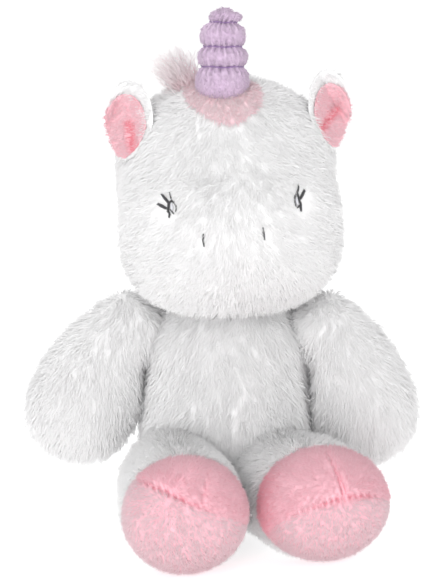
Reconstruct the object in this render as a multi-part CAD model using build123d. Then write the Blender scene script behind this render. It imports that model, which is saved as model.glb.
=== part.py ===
from build123d import *
import math
import os

os.makedirs("parts", exist_ok=True)

# Plush unicorn, sitting with its legs out in front. Millimetres, +Z up, the face looks along -Y.
# The origin is on the floor, under the middle of the seat.

# ---- cloth, stuffing and clearances ----
CLOTH = 2.0            # plush cloth with the packed root of its pile
FILL_GAP = 0.2         # stuffing stays this far inside the cloth
BODY_GAP = 0.5         # air between two pieces that move against each other

# ---- torso: a turned shape around Z, (height, radius) pairs from the seat up to the shoulders ----
SEAT_RADIUS = 33.0
TORSO_PROFILE = [(5, 39), (14, 43), (30, 45), (48, 46.5), (68, 46), (88, 42), (102, 36.5), (113, 31)]
SEAT_THICK = 2.5       # flat seat panel
PELLET_LOW = 5.0       # pellet bag in the bottom of the body, against tipping
PELLET_HIGH = 22.0
PELLET_RADIUS = 22.0

# ---- neck: everything between torso and head is concentric around this pivot ----
NECK_Y = 4.0
NECK_Z = 128.0
DOME_RADIUS = 34.0     # rounded top of the torso
COLLAR_THICK = 2.4     # loose neck band between the dome and the head
COLLAR_LOW = -5.5     # lower edge of the band, from the pivot

# ---- head, in its own frame around the neck pivot ----
HEAD_ROLL = -2.6       # the head leans a little to one side
HEAD_YAW = 4.0         # and looks a little to the same side
SKULL_CENTRE = (1.5, -6.0, 62.0)
SKULL_RX = 59.0
SKULL_RYZ = 55.5
MUZZLE_CENTRE = (1.5, -34.0, 39.5)
MUZZLE_RX = 61.0
MUZZLE_RYZ = 46.0
GUSSET_HALF = 24.0     # half width of the strip over the top of the head
MUZZLE_SEAM = (0, -60, 73)           # the seam between forehead and muzzle passes here

# ---- face ----
EYE_X = 33.5
EYE_Z = 57.0
EYE_RX = 4.4
EYE_RZ = 6.6
NOSTRIL_X = 16.0
NOSTRIL_Z = 41.0

# ---- horn: four gathered puffs, (height above the horn pivot, radius) ----
HORN_PIVOT = (1.0, -24.0, 115.0)
HORN_LEAN = 3.0
HORN_BALL = 15.4
HORN_WAISTS = [(10.6, 11.9), (21.2, 10.6), (33.9, 7.2)]
HORN_PUFFS = [(15.9, 14.0), (27.6, 12.6), (36.8, 8.6)]
HORN_TOP = 40.2
THREAD_RADIUS = 0.6

# ---- ears: a barrel root in a groove of the head, and a cupped oval blade ----
EAR_ROOT_X_L = 48.0
EAR_ROOT_X_R = 50.5
EAR_ROOT_Y = -6.0
EAR_ROOT_Z = 93.5
EAR_TILT = 26.0        # the root line leans in towards the top of the head
EAR_BARREL = 4.6
EAR_BARREL_HALF = 12.0
EAR_REACH = 8.5       # from the root line to the middle of the blade
EAR_RX = 12.4
EAR_RZ = 21.5
EAR_FRONT_Y = -4.0     # rim of the cup
EAR_BACK_BALL = 39.5   # radii and centres of the two spheres that shape the cup
EAR_BACK_Y = -35.0
EAR_DISH_BALL = 38.0
EAR_DISH_Y = -37.5
LINING_THICK = 1.4

# ---- arms: flat paddles on a round root that turns in the shoulder ----
SHOULDER_Y = -2.0
SHOULDER_Z = 106.0
ROOT_RADIUS = 12.0     # root plug inside the shoulder
ROOT_INNER_X = 27.0
CAP_RADIUS = 16.5      # rounded top of the arm, against the body
CAP_INNER_X = 38.5
PADDLE_INNER_X = 48.2  # the inner face of a paddle hangs beside the body
PADDLE_TOP = (53.6, 112.0)
ARM_TILT_L = 30.0      # outward tilt of each arm
ARM_TILT_R = 26.5
ARM_TWIST_L = 0.0      # turn of each paddle around its own length
ARM_TWIST_R = 18.0
ARM_SECTIONS = [(-15, 8, 7), (-6, 16.5, 13), (6, 22.5, 17), (26, 29.5, 21.5), (46, 31.5, 23.5),
                (66, 29, 21.5), (78, 21.5, 16), (84, 11, 8)]

# ---- legs and feet ----
HIP_X = 29.0
HIP_Y = -41.0
HIP_Z = 30.0
KNUCKLE = 26.5         # ball end of a leg, inside the hip
LEG_ROOT = 24.0        # leg radius where it leaves the ball
LEG_ANKLE = 28.5
FOOT_L = (-21.5, -100.0, 30.7)
FOOT_R = (50.0, -82.0, 31.5)
FOOT_RX_L = 33.0
FOOT_RX_R = 36.0
FOOT_RYZ = 30.5
ANKLE_BACK = 7.0       # ankle seam, behind the middle of the foot
TOE_YAW = 18.0         # both toes point to the same side
SOLE_DROP = 33.0       # the sole faces forward and down by this angle
SOLE_DEPTH = 16.6      # distance of the sole seam from the middle of the foot

# ---- tail ----
TAIL_ROOT = (0.0, 47.5, 52.0)
TAIL_BALL = 6.0


def spheroid(rx, r):
    """Ball stretched along X."""
    return scale(Sphere(r), by=(rx / r, 1, 1))


def drop_shape(rz, r):
    """Ball stretched along Z."""
    return scale(Sphere(r), by=(1, 1, rz / r))


def half_space(normal, point, size=400.0):
    """Everything on the side of a plane that its normal points to."""
    plane = Plane(origin=point, z_dir=normal)
    return plane.location * Pos(0, 0, size / 2) * Box(size, size, size)


def turned(profile, bottom_radius, top):
    """Turned solid through a smooth profile, closed by flats at both ends."""
    points = [(radius, height) for height, radius in profile]
    side = Spline([(bottom_radius, 0)] + points)
    last = points[-1]
    lines = [
        Line((0, 0), (bottom_radius, 0)),
        side,
        Line(last, (0, last[1])),
        Line((0, last[1]), (0, 0)),
    ]
    face = make_face(lines)
    solid = revolve(Plane.XZ * face, Axis.Z)
    return solid & (Pos(0, 0, top / 2) * Box(400, 400, top))


def clean_solid(shape):
    """The largest solid of a result, so that no sliver is carried along."""
    solids = shape.solids()
    return max(solids, key=lambda piece: piece.volume)


def save(shape, name):
    """Write one piece as its own file."""
    piece = clean_solid(shape)
    piece.label = name
    export_step(piece, "parts/" + name + ".step")


# ------------------------------------------------------------------ head frame

HEAD_PLACE = Pos(0, NECK_Y, NECK_Z) * Rot(0, 0, HEAD_YAW) * Rot(0, HEAD_ROLL, 0)
SOCKET_RADIUS = DOME_RADIUS + COLLAR_THICK + 2 * BODY_GAP


def head_form(inset):
    """Skull and muzzle together, drawn in by the given amount."""
    skull = Pos(*SKULL_CENTRE) * spheroid(SKULL_RX - inset, SKULL_RYZ - inset)
    muzzle = Pos(*MUZZLE_CENTRE) * spheroid(MUZZLE_RX - inset, MUZZLE_RYZ - inset)
    return skull + muzzle


def ear_frame(side):
    """Frame of an ear: Z along its root line, X outward, Y to the back."""
    reach = EAR_ROOT_X_R if side > 0 else EAR_ROOT_X_L
    place = Pos(SKULL_CENTRE[0] + side * reach, EAR_ROOT_Y, EAR_ROOT_Z)
    return place * Rot(0, -side * EAR_TILT, 0)


def cut_all(shape, tools):
    """Take every tool out of a shape, one after the other."""
    for tool in tools:
        shape = shape - tool
    return shape


HORN_PLACE = Pos(*HORN_PIVOT) * Rot(0, HORN_LEAN, 0)
neck_socket = Sphere(SOCKET_RADIUS)
horn_socket = Pos(*HORN_PIVOT) * Sphere(HORN_BALL + BODY_GAP)
head_cuts = [neck_socket, horn_socket]
for side in (-1, 1):
    groove = Cylinder(EAR_BARREL + BODY_GAP, 2 * EAR_BARREL_HALF + 1.0)
    head_cuts.append(ear_frame(side) * groove)

head_skin = cut_all(head_form(0) - head_form(CLOTH), head_cuts)
head_fill = cut_all(head_form(CLOTH + FILL_GAP), head_cuts)

# Panels: muzzle and chin below a seam, forehead strip, and two sides above and behind it.
muzzle_zone = half_space((0, -0.75, -0.66), MUZZLE_SEAM)
strip_zone = Pos(SKULL_CENTRE[0], 0, 100) * Box(2 * GUSSET_HALF, 400, 400)
muzzle_skin = head_skin & muzzle_zone
upper_skin = head_skin - muzzle_zone
strip_skin = upper_skin & strip_zone
side_skin = upper_skin - strip_zone
front_strip = strip_skin & half_space((0, -1, 0), (0, -6, 0))
back_strip = strip_skin & half_space((0, 1, 0), (0, -6, 0))
chin_zone = half_space((0, 0, -1), (0, 0, 24))

save(HEAD_PLACE * (muzzle_skin - chin_zone), "head_muzzle_panel")
save(HEAD_PLACE * (muzzle_skin & chin_zone), "head_chin_panel")
save(HEAD_PLACE * front_strip, "head_forehead_panel")
save(HEAD_PLACE * back_strip, "head_back_panel")
save(HEAD_PLACE * (side_skin & half_space((-1, 0, 0), (0, 0, 0))), "head_left_panel")
save(HEAD_PLACE * (side_skin & half_space((1, 0, 0), (0, 0, 0))), "head_right_panel")
save(HEAD_PLACE * head_fill, "head_stuffing")

# ---- face: satin-stitched eyes with a highlight, and two short nostril lines ----


def stitched(region, outer_height, inner_height):
    """A thin patch that follows the face inside a region drawn through it."""
    return (head_form(-outer_height) - head_form(-inner_height)) & region


for side, word in ((-1, "left"), (1, "right")):
    eye_x = SKULL_CENTRE[0] + side * EYE_X
    eye_column = Pos(eye_x, -60, EYE_Z) * Rot(90, 0, 0) * extrude(Ellipse(EYE_RX, EYE_RZ), 60, both=True)
    glint_x = eye_x - side * 0.6
    glint_column = Pos(glint_x, -60, EYE_Z - 0.8) * Rot(90, 0, 0) * extrude(Ellipse(2.2, 3.2), 60, both=True)
    eye_patch = stitched(eye_column & half_space((0, -1, 0), (0, -20, 0)), 1.0, 0.1)
    save(HEAD_PLACE * (eye_patch - glint_column), "eye_" + word)
    save(HEAD_PLACE * (eye_patch & glint_column), "eye_highlight_" + word)
    nostril_x = MUZZLE_CENTRE[0] + side * NOSTRIL_X
    slot = SlotOverall(7.5, 1.8, rotation=90)
    nostril_column = Pos(nostril_x, -60, NOSTRIL_Z) * Rot(90, 0, 0) * extrude(slot, 60, both=True)
    nostril = stitched(nostril_column & half_space((0, -1, 0), (0, -20, 0)), 0.9, 0.1)
    save(HEAD_PLACE * nostril, "nostril_" + word)

# ---- mane: short patch around the horn, a tuft behind it and a strip down the nape ----

patch_zone = Pos(0.5, -31, 108) * drop_shape(23, 20.5)
mane_patch = (head_form(-2.4) - head_form(-0.1)) & patch_zone
save(HEAD_PLACE * (mane_patch - horn_socket), "mane_patch")

tuft = Pos(-25.5, -8, 121) * Rot(0, -32, 0) * drop_shape(17, 8.0)
tuft = tuft - head_form(-0.1) - mane_patch - horn_socket
save(HEAD_PLACE * tuft, "mane_tuft")

strip_column = Pos(1.5, 40, 80) * Box(17, 80, 110)
mane_strip = (head_form(-9.0) - head_form(-0.1)) & strip_column
mane_strip = mane_strip & half_space((0, 1, 0.25), (0, 8, 110)) & half_space((0, 0, 1), (0, 0, 40))
save(HEAD_PLACE * mane_strip, "mane_strip")

# ------------------------------------------------------------------ ears


def oval_prism(rx, rz, front, back):
    """Upright oval plate around the middle of an ear blade."""
    plate = extrude(Ellipse(rx, rz), back - front)
    return Pos(EAR_REACH, back, 0) * Rot(90, 0, 0) * plate


blade = oval_prism(EAR_RX, EAR_RZ, EAR_FRONT_Y, 8.0)
blade = blade & (Pos(EAR_REACH, EAR_BACK_Y, 0) * Sphere(EAR_BACK_BALL))
blade = blade - (Pos(EAR_REACH, EAR_DISH_Y, 0) * Sphere(EAR_DISH_BALL))
blade = blade & half_space((1, 0, 0), (2.0, 0, 0))
lining_zone = oval_prism(EAR_RX - 2.2, EAR_RZ - 2.6, EAR_FRONT_Y - 4, 8.0)
lining_zone = lining_zone & (Pos(EAR_REACH, EAR_DISH_Y, 0) * Sphere(EAR_DISH_BALL + LINING_THICK))
lining_zone = lining_zone & half_space((1, 0, 0), (EAR_BARREL + 0.4, 0, 0))
ear_lining = blade & lining_zone
ear_back = (blade - lining_zone) + Cylinder(EAR_BARREL, 2 * EAR_BARREL_HALF)

for side, word in ((-1, "left"), (1, "right")):
    place = HEAD_PLACE * ear_frame(side)
    back = ear_back if side > 0 else mirror(ear_back, Plane.YZ)
    lining = ear_lining if side > 0 else mirror(ear_lining, Plane.YZ)
    save(place * back, "ear_back_" + word)
    save(place * lining, "ear_lining_" + word)

# ------------------------------------------------------------------ horn


def horn_profile(inset):
    """Turned horn: a ball at the base, then three puffs with tight waists between them."""
    ball = HORN_BALL - inset
    waist_z, waist_r = HORN_WAISTS[0]
    start = math.degrees(math.asin(waist_z / HORN_BALL))
    rise = ball * math.sin(math.radians(start))
    run = ball * math.cos(math.radians(start))
    lines = [CenterArc((0, 0), ball, -90, 90 + start)]
    level = (run, rise)
    for index, (puff_z, puff_r) in enumerate(HORN_PUFFS):
        if index + 1 < len(HORN_WAISTS):
            end = (HORN_WAISTS[index + 1][1] - inset, HORN_WAISTS[index + 1][0])
        else:
            end = (3.0, HORN_TOP - inset)
        lines.append(ThreePointArc(level, (puff_r - inset, puff_z), end))
        level = end
    lines.append(Line(level, (0, level[1])))
    lines.append(Line((0, level[1]), (0, -ball)))
    return revolve(Plane.XZ * make_face(lines), Axis.Z)


horn_solid = horn_profile(0)
horn_core = horn_profile(1.6)
horn_fill = horn_profile(1.6 + 2 * FILL_GAP)
horn_cover = horn_solid - horn_core
for index, (waist_z, waist_r) in enumerate(HORN_WAISTS):
    ring = Pos(0, 0, waist_z) * Torus(waist_r + 0.1, THREAD_RADIUS)
    horn_cover = horn_cover - ring
    save(HEAD_PLACE * HORN_PLACE * ring, "horn_thread_" + str(index + 1))
save(HEAD_PLACE * HORN_PLACE * horn_cover, "horn_cover")
save(HEAD_PLACE * HORN_PLACE * horn_fill, "horn_stuffing")

# ------------------------------------------------------------------ neck

collar = Sphere(DOME_RADIUS + BODY_GAP + COLLAR_THICK) - Sphere(DOME_RADIUS + BODY_GAP)
collar = collar & half_space((0, 0, 1), (0, 0, COLLAR_LOW))
save(Pos(0, NECK_Y, NECK_Z) * collar, "neck_collar")

# ------------------------------------------------------------------ torso


def torso_form(inset):
    """Body from the seat to the rounded shoulders, drawn in by the given amount."""
    profile = [(height, radius - inset) for height, radius in TORSO_PROFILE]
    body = turned(profile, SEAT_RADIUS - inset, TORSO_PROFILE[-1][0])
    dome = Pos(0, NECK_Y, NECK_Z) * Sphere(DOME_RADIUS - inset)
    return body + dome


torso_cuts = [Pos(*TAIL_ROOT) * Sphere(TAIL_BALL + BODY_GAP)]
for side in (-1, 1):
    torso_cuts.append(Pos(side * HIP_X, HIP_Y, HIP_Z) * Sphere(KNUCKLE + BODY_GAP))
    plug = Pos(side * (ROOT_INNER_X + 30), SHOULDER_Y, SHOULDER_Z) * Rot(0, 90, 0)
    torso_cuts.append(plug * Cylinder(ROOT_RADIUS + BODY_GAP, 60 + 2 * BODY_GAP))
    cap = Pos(side * (CAP_INNER_X + 30), SHOULDER_Y, SHOULDER_Z) * Rot(0, 90, 0)
    torso_cuts.append(cap * Cylinder(CAP_RADIUS + BODY_GAP, 60 + 2 * BODY_GAP))

seat_zone = Pos(0, 0, SEAT_THICK / 2) * Box(200, 200, SEAT_THICK)
save(torso_form(0) & seat_zone, "seat_panel")
walls = cut_all(torso_form(0) - torso_form(CLOTH) - seat_zone, torso_cuts)
front = half_space((0, -1, 0), (0, 0, 0))
back = half_space((0, 1, 0), (0, 0, 0))
for side, word in ((-1, "left"), (1, "right")):
    half = walls & half_space((side, 0, 0), (0, 0, 0))
    save(half & front, "belly_panel_" + word)
    save(half & back, "back_panel_" + word)

pellet_centre = Pos(0, 10, (PELLET_LOW + PELLET_HIGH) / 2)
pellet_height = PELLET_HIGH - PELLET_LOW
inside = cut_all(torso_form(CLOTH + FILL_GAP), torso_cuts)
inside = inside & half_space((0, 0, 1), (0, 0, SEAT_THICK + FILL_GAP))
inside = inside - pellet_centre * Cylinder(PELLET_RADIUS + 0.2, pellet_height + 0.4)
save(inside, "body_stuffing")
bag = pellet_centre * Cylinder(PELLET_RADIUS, pellet_height)
bag = bag - pellet_centre * Cylinder(PELLET_RADIUS - 1, pellet_height - 2)
save(bag, "pellet_bag")
save(pellet_centre * Cylinder(PELLET_RADIUS - 1.2, pellet_height - 2.4), "pellets")

# ------------------------------------------------------------------ arms


def paddle(inset):
    """Arm paddle along its own -Z axis, from the shoulder to the rounded hand."""
    sections = []
    for distance, half_width, half_depth in ARM_SECTIONS:
        level = distance
        if distance == ARM_SECTIONS[0][0]:
            level = distance + inset
        if distance == ARM_SECTIONS[-1][0]:
            level = distance - inset
        plane = Plane(origin=(0, 0, -level), z_dir=(0, 0, -1), x_dir=(1, 0, 0))
        sections.append(plane * Ellipse(max(half_width - inset, 2), max(half_depth - inset, 2)))
    return loft(sections)


def along_x(side, start, end, radius):
    """Round plug around the swing axis of an arm, between two distances from the middle."""
    middle = Pos(side * (start + end) / 2, SHOULDER_Y, SHOULDER_Z)
    return middle * Rot(0, 90, 0) * Cylinder(radius, end - start)


def arm_form(side, tilt, twist, inset):
    """Paddle, rounded cap and root plug of one arm, drawn in by the given amount."""
    place = Pos(side * PADDLE_TOP[0], SHOULDER_Y, PADDLE_TOP[1]) * Rot(-4, -side * tilt, side * twist)
    hand = place * paddle(inset)
    hand = hand & half_space((side, 0, 0), (side * (PADDLE_INNER_X + inset), 0, 0))
    cap = along_x(side, CAP_INNER_X + inset, PADDLE_INNER_X + 6, CAP_RADIUS - inset)
    plug = along_x(side, ROOT_INNER_X + inset, PADDLE_INNER_X, ROOT_RADIUS - inset)
    return hand + cap + plug


for side, word, tilt, twist in (
    (-1, "left", ARM_TILT_L, ARM_TWIST_L),
    (1, "right", ARM_TILT_R, ARM_TWIST_R),
):
    skin = arm_form(side, tilt, twist, 0) - arm_form(side, tilt, twist, CLOTH)
    front_zone = half_space((0, -1, 0.07), (0, SHOULDER_Y, SHOULDER_Z))
    save(skin & front_zone, "arm_front_panel_" + word)
    save(skin - front_zone, "arm_back_panel_" + word)
    save(arm_form(side, tilt, twist, CLOTH + FILL_GAP), "arm_stuffing_" + word)

# ------------------------------------------------------------------ legs and feet


def leg_form(hip, foot, inset):
    """Ball at the hip and a cone out to the ankle seam."""
    start = Vector(*hip)
    end = Vector(*foot)
    along = (end - start).normalized()
    length = (end - start).length - ANKLE_BACK
    plane = Plane(origin=start, z_dir=along)
    cone = plane.location * Pos(0, 0, length / 2)
    cone = cone * Cone(LEG_ROOT - inset, LEG_ANKLE - inset, length)
    ball = Pos(*hip) * Sphere(KNUCKLE - inset)
    cut_point = end - along * ANKLE_BACK
    return (cone + ball) & half_space(-along, cut_point)


def foot_form(foot, rx, hip, inset):
    """Round foot, closed by the ankle seam plane."""
    start = Vector(*hip)
    end = Vector(*foot)
    along = (end - start).normalized()
    cut_point = end - along * ANKLE_BACK
    round_ball = Rot(90, 0, 0) * Sphere(FOOT_RYZ - inset)
    wide_ball = scale(round_ball, by=((rx - inset) / (FOOT_RYZ - inset), 1, 1))
    ball = Pos(*foot) * Rot(0, 0, TOE_YAW) * wide_ball
    return ball & half_space(along, cut_point)


for side, word, foot, rx in ((-1, "left", FOOT_L, FOOT_RX_L), (1, "right", FOOT_R, FOOT_RX_R)):
    hip = (side * HIP_X, HIP_Y, HIP_Z)
    save(leg_form(hip, foot, 0) - leg_form(hip, foot, CLOTH), "leg_cover_" + word)
    save(leg_form(hip, foot, CLOTH + FILL_GAP), "leg_stuffing_" + word)
    outer = foot_form(foot, rx, hip, 0)
    inner = foot_form(foot, rx, hip, CLOTH)
    yaw = math.radians(TOE_YAW)
    drop = math.radians(SOLE_DROP)
    facing = (math.sin(yaw) * math.cos(drop), -math.cos(yaw) * math.cos(drop), -math.sin(drop))
    sole_point = Vector(*foot) + Vector(*facing) * SOLE_DEPTH
    sole_zone = half_space(facing, sole_point)
    split_zone = half_space((math.cos(yaw), math.sin(yaw), 0), foot)
    upper = outer - inner - sole_zone
    save((outer & sole_zone) - inner, "foot_sole_" + word)
    save(upper & split_zone, "foot_upper_a_" + word)
    save(upper - split_zone, "foot_upper_b_" + word)
    save(foot_form(foot, rx, hip, CLOTH + FILL_GAP), "foot_stuffing_" + word)

# ------------------------------------------------------------------ tail

tail_ball = Pos(*TAIL_ROOT) * Sphere(TAIL_BALL)
tail_drop = Pos(0, 62.0, 37) * Rot(18, 0, 0) * drop_shape(24, 9.0)
save(tail_drop + tail_ball, "tail_hair")
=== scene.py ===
import math

import bpy
import numpy as np
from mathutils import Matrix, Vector
from mathutils.kdtree import KDTree


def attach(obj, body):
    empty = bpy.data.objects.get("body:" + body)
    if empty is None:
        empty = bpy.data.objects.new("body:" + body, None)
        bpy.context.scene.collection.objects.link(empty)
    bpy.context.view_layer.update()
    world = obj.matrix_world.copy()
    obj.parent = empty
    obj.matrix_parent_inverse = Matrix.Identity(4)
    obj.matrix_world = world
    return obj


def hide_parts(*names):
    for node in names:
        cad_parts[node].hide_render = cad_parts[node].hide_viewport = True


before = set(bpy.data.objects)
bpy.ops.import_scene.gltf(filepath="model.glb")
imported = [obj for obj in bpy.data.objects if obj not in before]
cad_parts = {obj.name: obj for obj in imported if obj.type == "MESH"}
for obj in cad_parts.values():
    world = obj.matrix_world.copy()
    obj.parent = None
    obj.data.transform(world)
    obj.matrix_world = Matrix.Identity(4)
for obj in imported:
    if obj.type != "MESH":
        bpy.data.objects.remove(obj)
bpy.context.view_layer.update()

# Lengths in this script are millimetres in the frame of the CAD model, and become metres only in
# make_mesh, so that a number here can be read against the same number in the model.
MM = 0.001
RNG = np.random.default_rng(11)

# ---- colours, linear. Each ROOT colour is darker than its TIP: painted shade at the base of the pile ----
WHITE = (0.975, 0.97, 0.973)
PINK_TIP = (0.92, 0.57, 0.63)
PINK_ROOT = (0.86, 0.42, 0.50)
# deeper pinks of the feet, for the upper here and the sole below: painted shade in the seam creases, and also
# above the sole seam and on the inner side of the right foot
PINK_DEEP = (0.90, 0.30, 0.38)
# the sole's pink is the upper pink made greyer: painted shade over the whole sole
SHADED_SOLE_TIP = (0.80, 0.60, 0.64)
SHADED_SOLE_ROOT = (0.80, 0.52, 0.57)
SHADED_SOLE_DEEP = (0.93, 0.36, 0.44)
MINKY_TIP = (0.95, 0.66, 0.71)
MINKY_ROOT = (0.92, 0.40, 0.47)
# deeper pink for the fold of each ear lining: painted shade in the fold
MINKY_FOLD_SHADE = (0.95, 0.24, 0.30)
PATCH_TIP = (0.97, 0.80, 0.83)
PATCH_ROOT = (0.96, 0.63, 0.69)
HORN_TIP = (0.70, 0.56, 0.70)
HORN_ROOT = (0.54, 0.39, 0.56)
# darker lavender for the pleats by the gathering seams: painted shade in their hollows
HORN_PLEAT_SHADE = (0.34, 0.20, 0.40)
MANE_TIP = (0.97, 0.90, 0.91)
MANE_ROOT = (0.96, 0.74, 0.78)
GREY_THREAD = (0.085, 0.085, 0.09)

# ---- shapes shared with the CAD model, in millimetres; -1 is the left side and 1 the right ----
NECK = np.array([0.0, 4.0, 128.0])
HEAD_ROLL = math.radians(-2.6)
HEAD_YAW = math.radians(4.0)
SKULL = ((1.5, -6.0, 62.0), (59.0, 55.5, 55.5))
MUZZLE = ((1.5, -34.0, 39.5), (61.0, 46.0, 46.0))
HORN_PIVOT = np.array([1.0, -24.0, 115.0])
HORN_LEAN = math.radians(3.0)
EAR_ROOT = {-1: (-46.5, -6.0, 93.5), 1: (52.0, -6.0, 93.5)}
EAR_TILT = math.radians(26.0)
TORSO = [(-3, 26), (0, 33), (5, 39.0), (14, 44), (30, 46.5), (48, 48), (68, 47.5), (88, 43.5), (102, 38),
         (113, 33), (124, 31), (140, 28), (152, 20), (160, 4)]
PADDLE_TOP = (53.6, -2.0, 112.0)
PADDLE = [(-17, 1), (-15, 8), (-6, 17), (6, 23), (26, 29.5), (46, 31.5), (66, 29), (78, 21.5), (84, 12),
          (87, 1)]
PADDLE_DEPTH = 0.745
ARM_TILT = {-1: 30.5, 1: 25.0}
ARM_TWIST = {-1: 0.0, 1: 18.0}
HIP = {-1: (-29.0, -41.0, 30.0), 1: (29.0, -41.0, 30.0)}
FOOT = {-1: (-21.5, -100.0, 30.7), 1: (50.0, -82.0, 31.5)}
FOOT_RADII = {-1: (33.6, 30.8, 30.8), 1: (36.2, 30.5, 30.5)}
TOE_YAW = math.radians(18.0)
SIDE = {-1: "left", 1: "right"}

# ---- pile: how far the cloth lies inside the CAD surface, so that the fur ends at that surface ----
LONG_INSET = 2.6
SHORT_INSET = 1.8


def rot(axis, angle):
    """Rotation matrix around one axis."""
    c, s = math.cos(angle), math.sin(angle)
    if axis == "x":
        return np.array([[1, 0, 0], [0, c, -s], [0, s, c]])
    if axis == "y":
        return np.array([[c, 0, s], [0, 1, 0], [-s, 0, c]])
    return np.array([[c, -s, 0], [s, c, 0], [0, 0, 1]])


HEAD_ROT = rot("z", HEAD_YAW) @ rot("y", HEAD_ROLL)
HORN_ROT = HEAD_ROT @ rot("y", HORN_LEAN)


def head_to_world(p):
    return np.asarray(p, float) @ HEAD_ROT.T + NECK


def world_to_head(p):
    return (np.asarray(p, float) - NECK) @ HEAD_ROT


def columns(p, x, y, z):
    """Vectors for the points p, from three columns. A plain number fills its column."""
    return np.stack([np.broadcast_to(c, len(p)) for c in (x, y, z)], 1)


def unit(v):
    return v / np.maximum(np.linalg.norm(v, axis=-1, keepdims=True), 1e-9)


# ------------------------------------------------------------------ distance fields


def ellipsoid(p, centre, radii):
    """Approximate distance to an ellipsoid, negative inside."""
    q = p - np.array(centre)
    r = np.array(radii)
    k0 = np.linalg.norm(q / r, axis=-1)
    k1 = np.linalg.norm(q / (r * r), axis=-1)
    return k0 * (k0 - 1.0) / np.maximum(k1, 1e-9)


CUSHION_POWER = 2.45       # 2 is a plain ellipsoid, more fills its corners


def cushion(p, centre, radii):
    """Ellipsoid with fuller corners seen from the front."""
    q = np.abs(p - np.array(centre)) / np.array(radii)
    front = (q[:, 0] ** CUSHION_POWER + q[:, 2] ** CUSHION_POWER) ** (1 / CUSHION_POWER)
    return (np.hypot(front, q[:, 1]) - 1.0) * min(radii) * 1.02


def smooth_min(a, b, k):
    h = np.clip(0.5 + 0.5 * (b - a) / k, 0, 1)
    return b * (1 - h) + a * h - k * h * (1 - h)


def smooth_max(a, b, k):
    return -smooth_min(-a, -b, k)


def bump(distance, width):
    """Bell curve, 1 at no distance."""
    return np.exp(-(distance / width) ** 2)


def smooth_profile(table, x):
    """Smooth curve through a table of (position, radius)."""
    xs, ys = np.array(table, float).T
    slope = np.gradient(ys, xs)
    i = np.clip(np.searchsorted(xs, x) - 1, 0, len(xs) - 2)
    h = xs[i + 1] - xs[i]
    t = np.clip((x - xs[i]) / h, 0, 1)
    a = (2 * t ** 3 - 3 * t ** 2 + 1) * ys[i] + (t ** 3 - 2 * t ** 2 + t) * h * slope[i]
    b = (-2 * t ** 3 + 3 * t ** 2) * ys[i + 1] + (t ** 3 - t ** 2) * h * slope[i + 1]
    return a + b


EYE = {-1: (-32.2, 57.6), 1: (35.6, 57.8)}      # places of the eyes in the head frame, (x, z)
NOSTRIL = {-1: (-15.8, 40.2), 1: (15.4, 42.0)}


def head_field(q):
    """Head in its own frame: skull and muzzle, with the folds and dimples that its stitching pulls."""
    x, y, z = q[:, 0], q[:, 1], q[:, 2]
    skull = ellipsoid(q, *SKULL)
    crown = ellipsoid(q, (3.0, -6.0, 77.0), (58.0, 45.0, 41.0))
    skull = smooth_min(skull, crown, 10.0)
    muzzle = cushion(q, *MUZZLE)
    d = smooth_min(skull, muzzle, 11.0)
    front = np.clip(-y / 40.0, 0, 1)
    fold_z = 73.5 - 0.003 * (x - 1.5) ** 2
    d = d + 1.5 * front * bump(z - fold_z, 3.2) * bump(x - 1.5, 30.0)
    for side in (-1, 1):
        ex, ez = EYE[side]
        d = d + 2.4 * front * bump(np.hypot(x - ex, (z - ez) * 0.8), 7.5)
        nx, nz = NOSTRIL[side]
        d = d + 1.3 * front * bump(np.hypot((x - nx) * 1.4, (z - nz) * 0.6), 4.0)
    mouth = np.clip((36 - z) / 8, 0, 1) * np.clip((z + 2) / 10, 0, 1)
    d = d + 1.2 * front * mouth * bump(x - 2.0, 3.0)
    return d


def head_field_world(p):
    return head_field(world_to_head(p))


def torso_field(p):
    x, y, z = p[:, 0], p[:, 1], p[:, 2]
    centre_y = np.where(z > 113, np.clip((z - 113) / 15, 0, 1) * 4.0, 0.0)
    belly = 2.5 * np.exp(-((z - 48) / 26.0) ** 2)
    radius = smooth_profile(TORSO, z)
    ry = radius * 0.97 + np.where(y < centre_y, belly, 0.6 * belly)
    radius = radius + 7.0 * np.exp(-((z - 106) / 13.0) ** 2)
    d = np.hypot(x / np.maximum(radius, 1), (y - centre_y) / np.maximum(ry, 1)) - 1.0
    d = d * np.maximum(radius, 6.0)
    d = smooth_max(d, -z, 3.0)
    d = smooth_max(d, z - 160, 3.0)
    seam = np.clip((z - 12) / 20, 0, 1)
    return d + 0.9 * seam * bump(x, 2.2) * np.clip(-y / 30, 0, 1)


def arm_local(p, side):
    place = rot("x", math.radians(-4)) @ rot("y", math.radians(-side * ARM_TILT[side]))
    place = place @ rot("z", math.radians(side * ARM_TWIST[side]))
    top = np.array([side * PADDLE_TOP[0], PADDLE_TOP[1], PADDLE_TOP[2]])
    return (p - top) @ place


def arm_field(p, side):
    q = arm_local(p, side)
    t = -q[:, 2] * (1.018 if side < 0 else 1.035)
    w = np.maximum(smooth_profile(PADDLE, t), 0.6)
    k = np.hypot(q[:, 0] / w, q[:, 1] / (w * PADDLE_DEPTH)) - 1.0
    d = k * w * 0.86
    d = smooth_max(d, t - 86, 6.0)
    d = smooth_max(d, -t - 16, 4.0)
    d = smooth_max(d, 46.6 - side * p[:, 0], 2.5)
    shoulder = ellipsoid(p, (side * 46.0, -3.0, 106.5), (14.0, 18.0, 18.0))
    return smooth_min(d, shoulder, 8.0)


def leg_field(p, side):
    hip, foot = np.array(HIP[side]), np.array(FOOT[side])
    along = unit(foot - hip)
    t = (p - hip) @ along
    length = np.linalg.norm(foot - hip)
    s = np.clip(t / length, 0, 1)
    radius = 28.0 + 3.5 * s
    nearest = hip + np.clip(t, 0, length - 14)[:, None] * along
    return np.linalg.norm(p - nearest, axis=-1) - radius


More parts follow.
